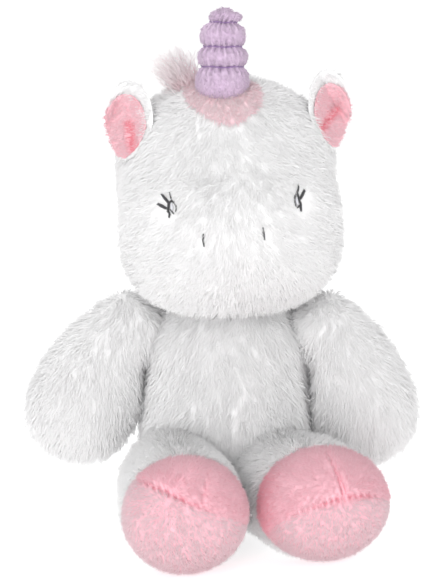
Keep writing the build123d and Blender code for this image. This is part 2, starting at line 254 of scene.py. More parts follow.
def foot_field(p, side):
    q = (p - np.array(FOOT[side])) @ rot("z", TOE_YAW)
    d = ellipsoid(q, (0, 0, 0), FOOT_RADII[side])
    crinkle = 1.0 + 0.5 * np.sin(p[:, 0] * 1.9 + p[:, 2] * 0.7)
    return d + 1.7 * crinkle * seam_pull(p, side) * bump(foot_seams(p, side), 1.7)


# Sole seam: a circle around an axis. Upper seam: where a plane through the middle meets the ball.
SOLE_AXIS = {-1: (-0.374, -0.250, -0.893), 1: (0.266, -0.500, -0.825)}
SOLE_ANGLE = {-1: math.radians(103.2), 1: math.radians(75.0)}
UPPER_PLANE = {-1: (0.925, 0.130, -0.357), 1: (0.923, 0.377, 0.068)}


def sole_angle(p, side):
    direction = unit(p - np.array(FOOT[side]))
    return np.arccos(np.clip(direction @ unit(np.array(SOLE_AXIS[side])), -1, 1))


SEAM_RADIUS = 31.0        # turns an angle round a foot into a length on it
SEAM_CROSSING = {-1: (-0.29, -0.86, 0.43), 1: (0.33, -0.88, 0.35)}


def seam_pull(p, side):
    """How tight the seams are sewn: tightest where they cross, and flat further round the foot."""
    direction = unit(p - np.array(FOOT[side]))
    away = np.arccos(np.clip(direction @ unit(np.array(SEAM_CROSSING[side])), -1, 1))
    return np.clip(1.2 - away / 1.05, 0.12, 1)


def foot_seams(p, side):
    """Distance to the nearest seam of a foot."""
    direction = unit(p - np.array(FOOT[side]))
    angle = sole_angle(p, side)
    around = np.abs(angle - SOLE_ANGLE[side]) * SEAM_RADIUS
    top = np.abs(direction @ unit(np.array(UPPER_PLANE[side]))) * SEAM_RADIUS
    upper = (angle > SOLE_ANGLE[side]) & (direction[:, 2] - 0.4 * direction[:, 1] > 0)
    return np.where(upper, np.minimum(around, top), around)


# ------------------------------------------------------------------ meshes


def icosphere(level):
    """Vertices and triangles of a unit icosphere."""
    g = (1 + 5 ** 0.5) / 2
    v = [(-1, g, 0), (1, g, 0), (-1, -g, 0), (1, -g, 0), (0, -1, g), (0, 1, g), (0, -1, -g), (0, 1, -g),
         (g, 0, -1), (g, 0, 1), (-g, 0, -1), (-g, 0, 1)]
    f = [(0, 11, 5), (0, 5, 1), (0, 1, 7), (0, 7, 10), (0, 10, 11), (1, 5, 9), (5, 11, 4), (11, 10, 2),
         (10, 7, 6), (7, 1, 8), (3, 9, 4), (3, 4, 2), (3, 2, 6), (3, 6, 8), (3, 8, 9), (4, 9, 5),
         (2, 4, 11), (6, 2, 10), (8, 6, 7), (9, 8, 1)]
    v = unit(np.array(v, float))
    f = np.array(f)
    for _ in range(level):
        edges = np.concatenate([f[:, [0, 1]], f[:, [1, 2]], f[:, [2, 0]]])
        key = np.sort(edges, axis=1)
        pairs, inverse = np.unique(key, axis=0, return_inverse=True)
        inverse = inverse.reshape(-1)
        middle = unit((v[pairs[:, 0]] + v[pairs[:, 1]]) / 2)
        n = len(f)
        a, b, c = (len(v) + inverse[:n], len(v) + inverse[n:2 * n], len(v) + inverse[2 * n:])
        v = np.concatenate([v, middle])
        f = np.concatenate([np.stack(s, 1) for s in (
            (f[:, 0], a, c), (f[:, 1], b, a), (f[:, 2], c, b), (a, b, c))])
    return v, f


BALLS = {level: icosphere(level) for level in (3, 4, 5, 6)}


def blob(field, centre, level, inset, reach=150.0):
    """Closed surface where a field equals -inset, found along rays from a centre."""
    rays, faces = BALLS[level]
    centre = np.array(centre, float)
    steps = np.linspace(2.0, reach, 75)
    low = np.zeros(len(rays))
    high = np.full(len(rays), reach)
    open_ray = np.ones(len(rays), bool)
    last = 0.0
    for step in steps:
        value = field(centre + rays * step) + inset
        hit = open_ray & (value > 0)
        low[hit], high[hit] = last, step
        open_ray &= ~hit
        last = step
    for _ in range(14):
        middle = (low + high) / 2
        inside = field(centre + rays * middle[:, None]) + inset < 0
        low = np.where(inside, middle, low)
        high = np.where(inside, high, middle)
    return centre + rays * high[:, None], faces


def vertex_normals(v, f):
    tri = v[f]
    n = np.cross(tri[:, 1] - tri[:, 0], tri[:, 2] - tri[:, 0])
    out = np.zeros_like(v)
    for corner in range(3):
        np.add.at(out, f[:, corner], n)
    return unit(out)


def make_mesh(name, verts, faces):
    """Blender object from millimetre vertices. faces is a list of arrays with 3 or 4 columns."""
    mesh = bpy.data.meshes.new(name)
    loops = np.concatenate([np.asarray(f).reshape(-1) for f in faces])
    sizes = np.concatenate([np.full(len(f), np.asarray(f).shape[1]) for f in faces])
    mesh.vertices.add(len(verts))
    mesh.vertices.foreach_set("co", (np.asarray(verts) * MM).astype(np.float32).reshape(-1))
    mesh.loops.add(len(loops))
    mesh.loops.foreach_set("vertex_index", loops.astype(np.int32))
    mesh.polygons.add(len(sizes))
    starts = np.concatenate([[0], np.cumsum(sizes)[:-1]])
    mesh.polygons.foreach_set("loop_start", starts.astype(np.int32))
    mesh.update(calc_edges=True)
    mesh.validate()
    mesh.polygons.foreach_set("use_smooth", np.ones(len(mesh.polygons), bool))
    obj = bpy.data.objects.new(name, mesh)
    bpy.context.scene.collection.objects.link(obj)
    return obj


def place(obj, body, kind, nodes=(), fill=None):
    """Give a piece its material and its body, and hide the CAD nodes it stands for."""
    slot, material = MAT[kind]
    obj.data.materials.append(material)
    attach(obj, body)
    if nodes:
        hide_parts(*nodes)
    return obj


# ------------------------------------------------------------------ materials


def new_material(name, roughness, sheen=0.0, specular=0.15):
    material = bpy.data.materials.new(name)
    material.use_nodes = True
    nodes = material.node_tree.nodes
    shader = nodes["Principled BSDF"]
    shader.inputs["Roughness"].default_value = roughness
    shader.inputs["Specular IOR Level"].default_value = specular
    shader.inputs["Sheen Weight"].default_value = sheen
    shader.inputs["Sheen Roughness"].default_value = 0.6
    return material, nodes, material.node_tree.links, shader


def add_node(nodes, kind, **values):
    """New shader node with plain values on some of its inputs. From_Min stands for From Min."""
    node = nodes.new("ShaderNode" + kind)
    for key, value in values.items():
        node.inputs[key.replace("_", " ")].default_value = value
    return node


def colour_mix(nodes):
    mix = nodes.new("ShaderNodeMix")
    mix.data_type = "RGBA"
    return mix


def connect(links, *joins):
    for source, output, target, socket in joins:
        links.new(source.outputs[output], target.inputs[socket])


def pile_material(name, root, tip, spread, sheen=0.15, root_end=0.75, deep=None):
    """Pile fibres: colour runs from a darker root, painted shade at the base of the pile, to the tip; each
    fibre has its own tint, and fibres that a piece marks take a deeper colour, painted shade in folds, pleats
    and seams.
    """
    material, nodes, links, shader = new_material(name, 0.8, sheen)
    uv = nodes.new("ShaderNodeUVMap")
    uv.uv_map = "OFBake"
    split = nodes.new("ShaderNodeSeparateXYZ")
    ramp = nodes.new("ShaderNodeValToRGB")
    # the root end takes the darker colour: painted shade at the base of the pile
    for stop, colour, position in zip(ramp.color_ramp.elements, (root, tip), (0.05, root_end)):
        stop.color = (*colour, 1)
        stop.position = position
    tint = nodes.new("ShaderNodeHueSaturation")
    value = add_node(nodes, "MapRange", From_Min=0.5, To_Min=1.0 - spread, To_Max=1.0 + spread * 0.5)
    fold = add_node(nodes, "MapRange", From_Max=0.5, To_Min=1.0, To_Max=0.0)
    mix = colour_mix(nodes)
    mix.inputs["B"].default_value = (*(deep or tip), 1)
    connect(links, (uv, "UV", split, "Vector"), (split, "Y", ramp, "Fac"), (split, "X", value, "Value"),
            (value, "Result", tint, "Value"), (ramp, "Color", tint, "Color"), (split, "X", fold, "Value"),
            (fold, "Result", mix, "Factor"), (tint, "Color", mix, "A"), (mix, "Result", shader, "Base Color"))
    return material


def cloth_material(name, base, dark, scale, strength, roughness=0.85):
    """Backing cloth under the pile: two noises vary the colour, and a fine one raises the surface."""
    material, nodes, links, shader = new_material(name, roughness, 0.2)
    where = nodes.new("ShaderNodeTexCoord")
    broad = add_node(nodes, "TexNoise", Scale=scale, Detail=3.0)
    fine = add_node(nodes, "TexNoise", Scale=scale * 14, Detail=2.0)
    mix = colour_mix(nodes)
    mix.inputs["A"].default_value = (*dark, 1)
    mix.inputs["B"].default_value = (*base, 1)
    lift = add_node(nodes, "Bump", Strength=strength, Distance=0.0006)
    connect(links, (where, "Object", broad, "Vector"), (where, "Object", fine, "Vector"),
            (broad, "Fac", mix, "Factor"), (mix, "Result", shader, "Base Color"),
            (fine, "Fac", lift, "Height"), (lift, "Normal", shader, "Normal"))
    return material


def shade(colour, factor):
    return tuple(c * factor for c in colour)


# Each kind of surface: its slot in the record, and its material
MAT = {}


def cloths(*rows):
    for kind, slot, *values in rows:
        MAT[kind] = (slot, cloth_material(*values))


def piles(*rows):
    for kind, slot, *values in rows:
        MAT[kind] = (slot, pile_material(*values))


# kind, slot, name, colour, darker colour, scale of its grain, height of its grain, roughness
cloths(("white_cloth", "white_plush", "white_backing_cloth", shade(WHITE, 0.97), shade(WHITE, 0.94), 60, 0.4),
       ("pink_cloth", "pink_plush", "pink_backing_cloth", PINK_TIP, PINK_ROOT, 90, 0.5),
       ("minky_cloth", "pink_minky", "pink_minky_cloth", MINKY_TIP, MINKY_ROOT, 90, 0.5),
       ("patch_cloth", "pink_minky", "pink_patch_cloth", PATCH_TIP, PATCH_ROOT, 90, 0.5),
       ("horn_cloth", "lavender_minky", "lavender_minky_cloth", HORN_TIP, HORN_ROOT, 90, 0.5),
       ("mane_cloth", "mane_plush", "mane_backing_cloth", MANE_TIP, MANE_ROOT, 60, 0.4),
       ("grey_thread", "grey_embroidery", "grey_satin_thread", GREY_THREAD, shade(GREY_THREAD, 0.5), 400, 0.3,
        0.45),
       ("white_thread", "white_embroidery", "white_satin_thread", (0.9, 0.9, 0.94), (0.75, 0.75, 0.8), 400, 0.3,
        0.4),
       ("horn_thread", "lavender_thread", "lavender_gather_thread", (0.36, 0.24, 0.44), (0.22, 0.13, 0.3), 400,
        0.3, 0.5),
       ("fibre", "fibre_fill", "polyester_fibre_fill", (0.9, 0.9, 0.89), (0.75, 0.75, 0.74), 80, 0.9))
# kind, slot, name, root colour (darker: painted shade), tip colour, spread of tint, sheen, where the tip colour
# starts, colour of painted shade in folds
piles(("white_pile", "white_plush", "white_long_pile", shade(WHITE, 0.99), WHITE, 0.015),
      ("pink_pile", "pink_plush", "pink_short_pile", PINK_ROOT, PINK_TIP, 0.04, 0.25, 0.75, PINK_DEEP),
      # the sole's pile is greyer: painted shade over the whole sole
      ("sole_pile", "pink_plush", "pink_sole_pile", SHADED_SOLE_ROOT, SHADED_SOLE_TIP, 0.04, 0.25, 0.75, SHADED_SOLE_DEEP),
      ("minky_pile", "pink_minky", "pink_minky_pile", MINKY_ROOT, MINKY_TIP, 0.05, 0.25, 0.75, MINKY_FOLD_SHADE),
      ("patch_pile", "pink_minky", "pink_patch_pile", PATCH_ROOT, PATCH_TIP, 0.05, 0.25),
      ("horn_pile", "lavender_minky", "lavender_minky_pile", HORN_ROOT, HORN_TIP, 0.08, 0.25, 0.75, HORN_PLEAT_SHADE),
      ("mane_pile", "mane_plush", "mane_long_pile", MANE_ROOT, MANE_TIP, 0.05, 0.15, 0.6))

# ------------------------------------------------------------------ pile made of fibres


def scatter(v, f, density, keep=None):
    """Random points on a surface with their normals. keep gives a probability for each point."""
    tri = v[f]
    cross = np.cross(tri[:, 1] - tri[:, 0], tri[:, 2] - tri[:, 0])
    area = np.linalg.norm(cross, axis=1) / 2
    count = int(area.sum() * density)
    chosen = RNG.choice(len(f), size=count, p=area / area.sum())
    a, b = RNG.random(count), RNG.random(count)
    flip = a + b > 1
    a[flip], b[flip] = 1 - a[flip], 1 - b[flip]
    t = tri[chosen]
    points = t[:, 0] + a[:, None] * (t[:, 1] - t[:, 0]) + b[:, None] * (t[:, 2] - t[:, 0])
    corner = vertex_normals(v, f)[f[chosen]]
    w = np.stack([1 - a - b, a, b], 1)[:, :, None]
    normals = unit((corner * w).sum(1))
    if keep is not None:
        stays = RNG.random(count) < keep(points, normals)
        points, normals = points[stays], normals[stays]
    return points, normals


def gather_tips(line, roots, clump):
    """Bend fibres towards a leader nearby, more at the tip, so that the pile forms small locks."""
    n, joints = line.shape[:2]
    lead = RNG.choice(n, size=max(n // 9, 4), replace=False)
    tree = KDTree(len(lead))
    for i, j in enumerate(lead):
        tree.insert(roots[j], i)
    tree.balance()
    nearest = np.array([lead[tree.find(r)[1]] for r in roots])
    pull = (np.linspace(0, 1, joints) ** 1.5 * clump)[None, :, None]
    offset = roots[nearest][:, None, :] - roots[:, None, :]
    away = np.linalg.norm(offset, axis=-1, keepdims=True)
    pull = pull * np.clip(1.6 - away / 4.0, 0, 1)
    return line * (1 - pull) + line[nearest] * pull


def fibre_faces(n, joints, per):
    """Sides and pointed ends of n three-sided fibres that have per vertices each."""
    base = (np.arange(n) * per)[:, None]
    quads, tris = [], []
    for k in range(joints - 2):
        for a in range(3):
            b = (a + 1) % 3
            quads.append(base + np.array([[k * 3 + b, k * 3 + a, k * 3 + 3 + a, k * 3 + 3 + b]]))
    last = (joints - 2) * 3
    for a in range(3):
        tris.append(base + np.array([[last + (a + 1) % 3, last + a, per - 1]]))
    return [np.stack(quads, 1).reshape(-1, 4), np.stack(tris, 1).reshape(-1, 3)]


def fibres(name, roots, normals, flow, length, width, lift, curl, clump, joints=4, soft=0.7, tone=None):
    """Tapered three-sided fibres. flow is the direction the nap is brushed, lift how far it stands up."""
    n = len(roots)
    side = np.cross(normals, flow)
    weak = np.linalg.norm(side, axis=1) < 0.12
    side[weak] = np.cross(normals[weak], RNG.normal(size=(int(weak.sum()), 3)))
    side = unit(side)
    flow = unit(np.cross(side, normals))
    jitter = RNG.normal(size=(n, 3)) * curl
    hang = np.clip(-normals[:, 2], 0, 1)
    up = np.clip(lift + 0.45 * hang + RNG.normal(size=n) * 0.10, 0.05, 1.0)[:, None]
    heading = unit(flow * (1 - up) + normals * up + jitter)
    tip_heading = unit(flow * (1.15 - up) + normals * up * 0.45 + jitter * 1.4)
    length = (np.asarray(length) * (0.8 + 0.35 * RNG.random(n)))[:, None]
    line = [roots - normals * 0.5]
    for k in range(1, joints):
        t = k / (joints - 1)
        bearing = unit(heading * (1 - t) + tip_heading * t)
        line.append(line[-1] + bearing * length / (joints - 1))
    line = np.stack(line, 1)
    if clump > 0 and n > 40:
        line = gather_tips(line, roots, clump)
    line[:, :, 2] = np.maximum(line[:, :, 2], 0.5)
    width = np.broadcast_to(np.asarray(width, float), (n,))
    taper = np.linspace(1, 0, joints) ** 0.6
    verts, shading = [], []
    for k in range(joints - 1):
        ahead = unit(line[:, k + 1] - line[:, max(k - 1, 0)])
        across = unit(ahead * (side * ahead).sum(1, keepdims=True) - side)
        out = unit(np.cross(across, ahead))
        for angle in (90, 210, 330):
            c, s = math.cos(math.radians(angle)), math.sin(math.radians(angle))
            radial = across * c + out * s
            verts.append(line[:, k] + radial * (width * taper[k] * 0.5)[:, None])
            upright = np.abs((ahead * normals).sum(1, keepdims=True)) ** 3
            share = soft * (1 - upright)
            shading.append(unit(normals * share + radial * (1 - share)))
    verts.append(line[:, -1])
    shading.append(normals)
    per = len(verts)
    verts = np.stack(verts, 1).reshape(-1, 3)
    shading = np.stack(shading, 1).reshape(-1, 3)
    obj = make_mesh(name, verts, fibre_faces(n, joints, per))
    mesh = obj.data
    level = np.concatenate([np.repeat(np.linspace(0, 1, joints)[:-1], 3), [1.0]])
    tint = 0.5 + 0.5 * RNG.random(n)
    # tone lowers the tint, so the fibre takes the material's deeper colour: painted shade where a piece marks
    # folds, pleats and seams
    if tone is not None:
        tint = tint * (1 - np.clip(tone, 0, 1))
    tint = np.repeat(tint, per)
    uv = np.stack([tint, np.tile(level, n)], 1)
    index = np.empty(len(mesh.loops), np.int32)
    mesh.loops.foreach_get("vertex_index", index)
    layer = mesh.uv_layers.new(name="OFBake")
    layer.data.foreach_set("uv", (uv[index] * 0.98 + 0.01).astype(np.float32).reshape(-1))
    mesh.normals_split_custom_set_from_vertices(shading.astype(np.float32).tolist())
    return obj


def brushed(down=1.0, outward=0.25, centre=(0.0, 0.0)):
    """Nap that lies downward and a little away from the middle."""
    def flow(p, n):
        away = columns(p, p[:, 0] - centre[0], p[:, 1] - centre[1], 0.0)
        wave = columns(p, np.sin(p[:, 2] * 0.11 + p[:, 1] * 0.07), np.cos(p[:, 0] * 0.09), 0.0)
        return unit(np.array([0.0, 0.0, -down]) + unit(away) * outward + wave * 0.22)
    return flow


def grow(name, surface, body, kind, density, length, width, lift, flow, keep=None, reach=None,
         curl=0.12, clump=0.35, joints=4, tone=None):
    """Cover a surface with fibres and hang them on a body."""
    v, f = surface
    points, normals = scatter(v, f, density, keep)
    size = np.full(len(points), float(length))
    if reach is not None:
        size = size * reach(points)
    used = size > 0.6
    points, normals, size = points[used], normals[used], size[used]
    deep = tone(points) if tone is not None else None
    obj = fibres(name, points, normals, flow(points, normals), size, width, lift, curl, clump, joints,
                 tone=deep)
    return place(obj, body, kind)


def skin(name, surface, body, kind, nodes=(), fill=None):
    obj = make_mesh(name, surface[0], [surface[1]])
    return place(obj, body, kind, nodes, fill)


def stuffed(stem, word, field, centre, level, insets, body, cloth, nodes, fill, reach=150.0):
    """Cloth skin with its stuffing inside, at their depths below a field. Returns the skin's surface."""
    surface = blob(field, centre, level, insets[0], reach)
    skin(stem + "_skin" + word, surface, body, cloth, nodes, fill)
    skin(stem + "_fill" + word, blob(field, centre, 4, insets[1], reach), body, "fibre",
         (stem + "_stuffing" + word,))
    return surface


# ------------------------------------------------------------------ head

EAR_TURN = {-1: math.radians(16.0), 1: math.radians(26.0)}
EAR_SHIFT = {-1: (-2.0, 3.4), 1: (1.5, 1.8)}
EAR_FORWARD = {-1: 24.0, 1: 20.0}
FOLD_DEEP = {-1: 1.8, 1: 2.6}
EAR_MIDDLE = 8.0


def ear_local(p, side):
    """Place of a point on the flat oval of an ear: outward from the head, depth, up."""
    local = (world_to_head(p) - np.array(EAR_ROOT[side])) @ rot("y", -side * EAR_TILT)
    x = side * local[:, 0] - EAR_MIDDLE - EAR_SHIFT[side][0]
    z = local[:, 2] - EAR_SHIFT[side][1]
    c, s = math.cos(EAR_TURN[side]), math.sin(EAR_TURN[side])
    return np.stack([EAR_MIDDLE + x * c - z * s, local[:, 1], x * s + z * c], 1)


def head_socket(p):
    """Bowl under the head, where the neck sits."""
    return 37.4 - np.linalg.norm(p - NECK, axis=-1)


def head_solid(p):
    return smooth_max(head_field_world(p), head_socket(p), 2.0)


HEAD_CENTRE = head_to_world((1.5, -16.0, 56.0))
head_surface = stuffed(
    "head", "", head_solid, HEAD_CENTRE, 6, (LONG_INSET, LONG_INSET + 3), "head", "white_cloth",
    ("head_muzzle_panel", "head_chin_panel", "head_forehead_panel", "head_back_panel",
     "head_left_panel", "head_right_panel"), 0.9)


def patch_mask(q):
    """Mane patch around the horn: rounded, with its lowest point in front. 1 inside, 0 outside."""
    x, y = q[:, 0] - 0.5, q[:, 1] + 24.0
    slant = x + 0.10 * y
    edge = np.hypot(slant / 20.5, np.where(y < 0, y / 24.0, y / 16.0))
    return np.clip((1.02 - edge) / 0.06, 0, 1)


def face_length(p):
    """Shorter pile around the stitched eyes and nostrils, and none under them."""
    q = world_to_head(p)
    out = np.ones(len(p))
    for side in (-1, 1):
        ex, ez = EYE[side]
        d = np.hypot(q[:, 0] - ex, (q[:, 2] - ez) * 0.75)
        front = q[:, 1] < -20
        out = np.where(front, out * np.clip((d - 1.0) / 7.5, 0.22, 1), out)
        nx, nz = NOSTRIL[side]
        d = np.hypot(q[:, 0] - nx, (q[:, 2] - nz) * 0.5)
        out = np.where(front, out * np.clip((d + 0.3) / 4.0, 0.35, 1), out)
    return out


def under_ear(p):
    """Where an ear lies flat over the head."""
    covered = np.zeros(len(p), bool)
    for side in (-1, 1):
        local = ear_local(p, side)
        oval = np.hypot((local[:, 0] - EAR_MIDDLE) / 11.5, local[:, 2] / 16.5)
        covered |= (oval < 1) & (local[:, 1] > -34) & (local[:, 1] < 4)
    return covered


def visible_head(p, n):
    q = world_to_head(p)
    free = (np.linalg.norm(p - NECK, axis=-1) > 38.5).astype(float)
    free *= 1 - patch_mask(q) * (q[:, 2] > 80)
    horn = np.linalg.norm(q - HORN_PIVOT, axis=-1) > 15.0
    return free * horn * ~under_ear(p)


def head_flow(p, n):
    """Down over the forehead and cheeks, out from the middle of the muzzle, back over the crown."""
    q = world_to_head(p)
    x, y, z = q[:, 0] - 1.5, q[:, 1], q[:, 2]
    away = columns(p, x, 0.0, 0.0) / 40.0
    swirl = np.exp(-((z - 34) / 16.0) ** 2) * (y < -30)
    down = columns(p, 0.0, -0.15, -1.0)
    back = columns(p, 0.0, np.clip(z - 92, 0, 40) / 16.0 * (y > -20), 0.0)
    wave = columns(p, np.sin(z * 0.13 + y * 0.05), 0.0, np.cos(x * 0.11))
    v = down + away * (0.7 + 1.5 * swirl[:, None]) + back + 0.18 * wave
    return unit(v) @ HEAD_ROT.T


def zone(test):
    """Limit a keep function to one panel of the head."""
    return lambda p, n: visible_head(p, n) * test(world_to_head(p))


HEAD_ZONES = {
    "head_fur_muzzle": lambda q: (q[:, 1] < -30) & (q[:, 2] < 52),
    "head_fur_face": lambda q: (q[:, 1] < -30) & (q[:, 2] >= 52) & (q[:, 2] < 84),
    "head_fur_forehead": lambda q: (q[:, 1] < -12) & (q[:, 2] >= 84),
    "head_fur_left": lambda q: (q[:, 1] >= -30) & (q[:, 2] < 84) & (q[:, 0] < 0),
    "head_fur_right": lambda q: (q[:, 1] >= -30) & (q[:, 2] < 84) & (q[:, 0] >= 0),
    "head_fur_crown": lambda q: (q[:, 1] >= -12) & (q[:, 2] >= 84),
}
for name, test in HEAD_ZONES.items():
    grow(name, head_surface, "head", "white_pile", 1.05, 7.0, 0.50, 0.45,
         head_flow, zone(test), face_length)

# ---- stitched eyes and nostrils ----


def on_face(x, z, height):
    """Point on the front of the head, at a height above its cloth."""
    x, z = np.atleast_1d(x).astype(float), np.atleast_1d(z).astype(float)
    low, high = np.full(len(x), -110.0), np.full(len(x), -20.0)
    for _ in range(22):
        middle = (low + high) / 2
        outside = head_field(np.stack([x, middle, z], 1)) + LONG_INSET - height > 0
        low = np.where(outside, middle, low)
        high = np.where(outside, high, middle)
    return np.stack([x, high, z], 1)


STITCH_PITCH = 0.36       # from one thread of a stitch to the next
THREAD = 0.46             # thickness of an embroidery thread


def satin_stroke(path, width, height=0.9):
    """Satin stitch: short threads side by side across a stroke. Returns tube segments in the head frame."""
    points = np.array(path, float)
    lengths = np.concatenate([[0], np.cumsum(np.linalg.norm(np.diff(points, axis=0), axis=1))])
    count = max(int(lengths[-1] / STITCH_PITCH), 2)
    tubes = []
    for k in range(count + 1):
        s = lengths[-1] * k / count
        i = min(np.searchsorted(lengths, s, side="right") - 1, len(points) - 2)
        t = (s - lengths[i]) / max(lengths[i + 1] - lengths[i], 1e-6)
        middle = points[i] * (1 - t) + points[i + 1] * t
        ahead = unit(points[i + 1] - points[i])
        across = np.array([-ahead[1], ahead[0]]) * 0.92 + ahead * 0.38
        half = np.interp(s / lengths[-1], np.linspace(0, 1, len(width)), width) / 2
        half = half * (0.9 + 0.2 * RNG.random())
        offsets = np.array([-1.0, -0.5, 0.0, 0.5, 1.0])
        line = middle + offsets[:, None] * across * half
        lift = height * np.array([0.15, 0.85, 1.0, 0.85, 0.15])
        tubes.append(np.concatenate([on_face(x, z, h) for (x, z), h in zip(line, lift)]))
    return tubes


TUBE_SIDES = 5


def tube_mesh(name, tubes, thickness, to_world):
    """Round threads along short lines."""
    verts, faces = [], []
    base = 0
    for line in tubes:
        count = len(line)
        for k in range(count):
            ahead = unit(line[min(k + 1, count - 1)] - line[max(k - 1, 0)])
            across = unit(np.cross(ahead, np.array([0.1, 1.0, 0.2])))
            out = np.cross(across, ahead)
            size = thickness / 2 * (0.65 if k in (0, count - 1) else 1.0)
            for a in range(TUBE_SIDES):
                angle = 2 * math.pi * a / TUBE_SIDES
                verts.append(line[k] + (across * math.cos(angle) + out * math.sin(angle)) * size)
        for k in range(count - 1):
            for a in range(TUBE_SIDES):
                b = (a + 1) % TUBE_SIDES
                i, j = base + k * TUBE_SIDES, base + (k + 1) * TUBE_SIDES
                faces.append((i + a, i + b, j + b, j + a))
        base += count * TUBE_SIDES
    return make_mesh(name, to_world(np.array(verts)), [np.array(faces)])


# Strokes around the middle of each eye: (points (x, z), widths along the stroke)
EYE_STROKES = {
    -1: [
        ([(-3.2, 5.7), (-1.4, 3.2), (0.2, 1.2)], [1.2, 1.7, 1.5]),
        ([(-5.6, 0.9), (-3.4, -0.3), (-1.5, -1.4)], [1.3, 1.8, 1.5]),
        ([(0.8, 6.6), (1.4, 3.6)], [0.5, 0.8]),
        ([(0.1, 1.2), (2.0, 2.6), (3.2, 1.0), (3.7, -0.5), (3.3, -2.6)], [1.0, 1.2, 1.0, 0.7, 0.4]),
        ([(0.1, 1.2), (-0.2, -0.9), (-0.7, -2.7), (0.2, -3.9), (-0.3, -5.7)], [1.4, 1.4, 1.2, 1.1, 0.8]),
        ([(0.6, -1.9), (2.3, -3.9)], [0.7, 0.7]),
    ],
    1: [
        ([(0.4, 7.0), (-0.1, 4.1), (-0.9, 2.6)], [0.6, 1.2, 1.2]),
        ([(3.4, 3.5), (1.7, 0.8), (0.7, -0.3)], [1.4, 1.8, 1.5]),
        ([(-0.9, 2.6), (-2.1, 1.6), (-2.7, -0.2), (-2.6, -1.9), (-2.1, -3.6)], [1.1, 1.2, 0.8, 0.6, 0.4]),
        ([(-0.6, 2.4), (-0.1, 0.1), (0.1, -1.6), (0.8, -2.9), (0.5, -4.6), (0.5, -6.3)],
         [1.0, 1.3, 1.2, 1.3, 1.3, 0.9]),
        ([(-1.4, -4.5), (0.2, -3.5)], [0.7, 0.9]),
    ],
}
GLINT = {-1: (1.5, -0.4), 1: (-1.3, -1.2)}


def stitch(name, side, tubes, kind, node):
    obj = tube_mesh(name + "_embroidery_" + SIDE[side], tubes, THREAD, head_to_world)
    place(obj, "head", kind, (node + "_" + SIDE[side],))


for side in (-1, 1):
    ex, ez = EYE[side]
    tubes = []
    for path, width in EYE_STROKES[side]:
        tubes += satin_stroke([(x + ex, z + ez) for x, z in path], width)
    stitch("eye", side, tubes, "grey_thread", "eye")
    gx, gz = ex + GLINT[side][0], ez + GLINT[side][1]
    tubes = satin_stroke([(gx, gz + 1.7), (gx, gz), (gx, gz - 1.7)], [0.9, 1.9, 0.9], height=1.0)
    stitch("eye_glint", side, tubes, "white_thread", "eye_highlight")
    nx, nz = NOSTRIL[side]
    tubes = satin_stroke([(nx - 0.3 * side, nz + 3.2), (nx, nz), (nx + 0.2, nz - 3.0)], [0.7, 1.2, 0.6],
                         height=1.3)
    stitch("nostril", side, tubes, "grey_thread", "nostril")

# ---- mane ----
head_places = world_to_head(head_surface[0])
head_normals = vertex_normals(*head_surface)
SEWN_ON = 0.8             # how far a piece sewn on the head stands off its cloth
PATCH_LOW = 80.0          # the patch is on top of the head, above this height


def head_sheet(inside):
    """The part of the head's surface whose vertices are inside, raised a little."""
    chosen = inside[head_surface[1]].all(axis=1)
    used, faces = np.unique(head_surface[1][chosen], return_inverse=True)
    return head_surface[0][used] + head_normals[used] * SEWN_ON, faces.reshape(-1, 3)


on_patch = patch_mask(head_places) * (head_places[:, 2] > PATCH_LOW) > 0.5
clear_of_horn = np.linalg.norm(head_places - HORN_PIVOT, axis=-1) > 9.0
patch_surface = head_sheet(on_patch & clear_of_horn)
skin("mane_patch_skin", patch_surface, "head", "patch_cloth", ("mane_patch",))


def patch_flow(p, n):
    q = world_to_head(p)
    return unit(columns(q, q[:, 0] * 0.02, -0.5, -1.0)) @ HEAD_ROT.T


grow("mane_patch_pile", patch_surface, "head", "patch_pile", 2.2, 5.0, 0.5, 0.45,
     patch_flow, clump=0.5, joints=3)

TUFT = (-19.0, -9.0, 108.0)


def tuft_field(p):
    q = (world_to_head(p) - np.array(TUFT)) @ rot("y", math.radians(-35))
    return ellipsoid(q, (0, 0, 0), (6.0, 6.0, 9.0))


tuft_surface = blob(tuft_field, head_to_world(TUFT), 3, 0.5, 30.0)
skin("mane_tuft_skin", tuft_surface, "head", "mane_cloth", ("mane_tuft",))


def tuft_hair(count):
    """Long hair that fans out beside the horn, from nearly level on the outside to upright."""
    angle = np.radians(RNG.uniform(12, 104, count))
    depth = RNG.normal(size=count) * 0.22
    heading = unit(np.stack([-np.cos(angle), depth, np.sin(angle)], 1))
    roots = np.array([-16.5, -9.0, 112.5]) + RNG.uniform(-1, 1, (count, 3)) * np.array([5.5, 7.0, 4.0])
    length = np.interp(np.degrees(angle), [12, 40, 62, 104], [15, 20, 29, 27])
    droop = np.broadcast_to(np.array([-0.8, 0.0, -0.6]), heading.shape)
    obj = fibres("mane_tuft_hair", head_to_world(roots), heading @ HEAD_ROT.T, droop @ HEAD_ROT.T,
                 length, 0.42, 1.0, 0.09, 0.8, 6, 0.2)
    return place(obj, "head", "mane_pile")


tuft_hair(520)


def nape_mask(q):
    return (np.abs(q[:, 0] - 1.5) < 8.5) & (q[:, 1] > 2) & (q[:, 2] > 38)


nape_surface = head_sheet(nape_mask(head_places))
skin("mane_nape_skin", nape_surface, "head", "mane_cloth", ("mane_strip",))
grow("mane_nape_hair", nape_surface, "head", "mane_pile", 1.8, 20.0, 0.6, 0.30,
     head_flow, curl=0.12, clump=0.5, joints=5)

# ------------------------------------------------------------------ horn

